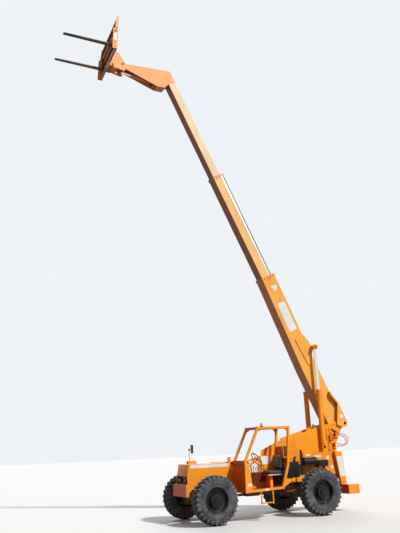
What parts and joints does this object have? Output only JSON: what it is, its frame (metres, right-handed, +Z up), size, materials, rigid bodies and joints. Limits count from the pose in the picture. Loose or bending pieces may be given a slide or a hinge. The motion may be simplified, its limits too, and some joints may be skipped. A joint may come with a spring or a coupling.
{
  "type": "telehandler",
  "caption": "Wheeled telescopic handler with a raised three-section boom, fork carriage on a gooseneck, open side cab, steered wheels on both axles and a heavy rear bumper",
  "frame": {"origin": "on the ground under the middle of the machine's overall box, boom raised as in the picture", "axes": "X forward (forks), Y to the machine's left (cab side), Z up"},
  "size_m": [9.1602, 2.616, 15.2105],
  "materials": {
    "orange_paint": "satin",
    "cab_paint": "satin",
    "running_gear_paint": "dull, dusty",
    "rim_paint": "dull, dusty",
    "tyre_rubber": "dusty",
    "rod_chrome": "polished",
    "hose_rubber": "oily",
    "fork_steel": "worn",
    "seat_vinyl": "matt vinyl",
    "wheel_plastic": "matt",
    "black_paint": "satin",
    "engine_iron": "rough",
    "lamp_lens": "clear",
    "amber_lens": "clear"
  },
  "bodies": {
    "chassis": {"rear_frame": "orange_paint", "front_frame": "orange_paint", "counterweight": "orange_paint", "front_axle": "running_gear_paint", "rear_axle": "running_gear_paint", "driveline": "running_gear_paint", "cab_frame": "orange_paint", "cab_panels": "cab_paint", "seat_base": "orange_paint", "seat_cushion": "seat_vinyl", "seat_back": "seat_vinyl", "steering_column": "orange_paint", "steering_wheel": "wheel_plastic", "side_console": "black_paint", "engine_hood": "orange_paint", "engine": "engine_iron", "side_deck": "orange_paint", "hydraulic_tank": "black_paint", "air_cleaner": "black_paint", "battery_box": "black_paint", "fuel_tank": "orange_paint", "lamps": "lamp_lens", "beacon": "amber_lens", "mirror": "black_paint", "tower_hose_1": "hose_rubber", "tower_hose_2": "hose_rubber"},
    "boom_base": {"boom_section_1": "orange_paint"},
    "boom_middle": {"boom_section_2": "orange_paint", "extend_rod": "rod_chrome", "extend_cable": "hose_rubber"},
    "boom_tip": {"boom_section_3": "orange_paint", "gooseneck": "orange_paint"},
    "lift_cylinder": {"lift_barrels": "orange_paint"},
    "lift_piston": {"lift_rods": "rod_chrome"},
    "level_cylinder": {"level_barrel": "orange_paint"},
    "level_piston": {"level_rod": "rod_chrome"},
    "boom_head": {"coupler": "orange_paint"},
    "tilt_cylinder": {"tilt_barrel": "orange_paint"},
    "tilt_piston": {"tilt_rod": "rod_chrome"},
    "fork_carriage": {"carriage": "orange_paint", "forks": "fork_steel"},
    "steer_front_left": {"knuckle_front_left": "running_gear_paint"},
    "wheel_front_left": {"tyre_front_left": "tyre_rubber", "rim_front_left": "rim_paint"},
    "steer_front_right": {"knuckle_front_right": "running_gear_paint"},
    "wheel_front_right": {"tyre_front_right": "tyre_rubber", "rim_front_right": "rim_paint"},
    "steer_rear_left": {"knuckle_rear_left": "running_gear_paint"},
    "wheel_rear_left": {"tyre_rear_left": "tyre_rubber", "rim_rear_left": "rim_paint"},
    "steer_rear_right": {"knuckle_rear_right": "running_gear_paint"},
    "wheel_rear_right": {"tyre_rear_right": "tyre_rubber", "rim_rear_right": "rim_paint"}
  },
  "joints": [
    {"name": "boom_lift", "type": "hinge", "parent": "chassis", "child": "boom_base", "pos_m": [-4.4751, 0, 2.545], "axis": [0, 1, 0], "range_deg": [-4.5, 66]},
    {"name": "boom_extend", "type": "slide", "parent": "boom_base", "child": "boom_middle", "axis": [0.4179, 0, 0.9085], "range_m": [-3.15, 0]},
    {"name": "boom_tip_extend", "type": "slide", "parent": "boom_middle", "child": "boom_tip", "axis": [0.4179, 0, 0.9085], "range_m": [-3.15, 0]},
    {"name": "lift_cylinder_swing", "type": "hinge", "parent": "chassis", "child": "lift_cylinder", "pos_m": [-3.5851, 0, 1.86], "axis": [0, 1, 0], "range_deg": [-4.64, 59.53]},
    {"name": "lift_cylinder_stroke", "type": "slide", "parent": "lift_cylinder", "child": "lift_piston", "axis": [-0.0033, 0, 1], "range_m": [-1.2119, 0.0946]},
    {"name": "head_level", "type": "hinge", "parent": "boom_tip", "child": "boom_head", "pos_m": [2.5549, 0, 14.05], "axis": [0, -1, 0], "range_deg": [-4.6, 66.1]},
    {"name": "level_cylinder_swing", "type": "hinge", "parent": "boom_tip", "child": "level_cylinder", "pos_m": [1.6349, 0, 13.66], "axis": [0, 1, 0], "range_deg": [-0.543, 0.042]},
    {"name": "level_cylinder_stroke", "type": "slide", "parent": "level_cylinder", "child": "level_piston", "axis": [0.9777, 0, 0.2099], "range_m": [-0.0177, 0.227]},
    {"name": "carriage_tilt", "type": "hinge", "parent": "boom_head", "child": "fork_carriage", "pos_m": [2.8949, 0, 13.94], "axis": [0, -1, 0], "range_deg": [-12, 12]},
    {"name": "tilt_cylinder_swing", "type": "hinge", "parent": "boom_head", "child": "tilt_cylinder", "pos_m": [2.7399, 0, 14.36], "axis": [0, 1, 0], "range_deg": [-2.63, 2.63]},
    {"name": "tilt_cylinder_stroke", "type": "slide", "parent": "tilt_cylinder", "child": "tilt_piston", "axis": [-0.0283, 0, -0.9996], "range_m": [-0.0356, 0.0356]},
    {"name": "steer_front_left", "type": "hinge", "parent": "chassis", "child": "steer_front_left", "pos_m": [0.4549, 0.86, 0.638], "axis": [0, 0, 1], "range_deg": [-30, 30]},
    {"name": "spin_front_left", "type": "hinge", "parent": "steer_front_left", "child": "wheel_front_left", "pos_m": [0.4549, 1.125, 0.638], "axis": [0, 1, 0], "continuous": true},
    {"name": "steer_front_right", "type": "hinge", "parent": "chassis", "child": "steer_front_right", "pos_m": [0.4549, -0.86, 0.638], "axis": [0, 0, 1], "range_deg": [-30, 30]},
    {"name": "spin_front_right", "type": "hinge", "parent": "steer_front_right", "child": "wheel_front_right", "pos_m": [0.4549, -1.125, 0.638], "axis": [0, 1, 0], "continuous": true},
    {"name": "steer_rear_left", "type": "hinge", "parent": "chassis", "child": "steer_rear_left", "pos_m": [-2.8451, 0.86, 0.638], "axis": [0, 0, 1], "range_deg": [-30, 30]},
    {"name": "spin_rear_left", "type": "hinge", "parent": "steer_rear_left", "child": "wheel_rear_left", "pos_m": [-2.8451, 1.125, 0.638], "axis": [0, 1, 0], "continuous": true},
    {"name": "steer_rear_right", "type": "hinge", "parent": "chassis", "child": "steer_rear_right", "pos_m": [-2.8451, -0.86, 0.638], "axis": [0, 0, 1], "range_deg": [-30, 30]},
    {"name": "spin_rear_right", "type": "hinge", "parent": "steer_rear_right", "child": "wheel_rear_right", "pos_m": [-2.8451, -1.125, 0.638], "axis": [0, 1, 0], "continuous": true}
  ],
  "couplings": [
    {"joint": "boom_tip_extend", "follows": "boom_extend", "ratio": 1},
    {"joint": "lift_cylinder_swing", "follows": "boom_lift", "ratio": 0.8925},
    {"joint": "lift_cylinder_stroke", "follows": "boom_lift", "m_per_rad": -1.041},
    {"joint": "head_level", "follows": "boom_lift", "ratio": 1},
    {"joint": "level_cylinder_swing", "follows": "boom_lift", "ratio": -0.0081427},
    {"joint": "level_cylinder_stroke", "follows": "boom_lift", "m_per_rad": 0.195},
    {"joint": "tilt_cylinder_swing", "follows": "carriage_tilt", "ratio": -0.21525},
    {"joint": "tilt_cylinder_stroke", "follows": "carriage_tilt", "m_per_rad": 0.16645},
    {"joint": "steer_front_right", "follows": "steer_front_left", "ratio": 1},
    {"joint": "steer_rear_right", "follows": "steer_rear_left", "ratio": 1}
  ]
}
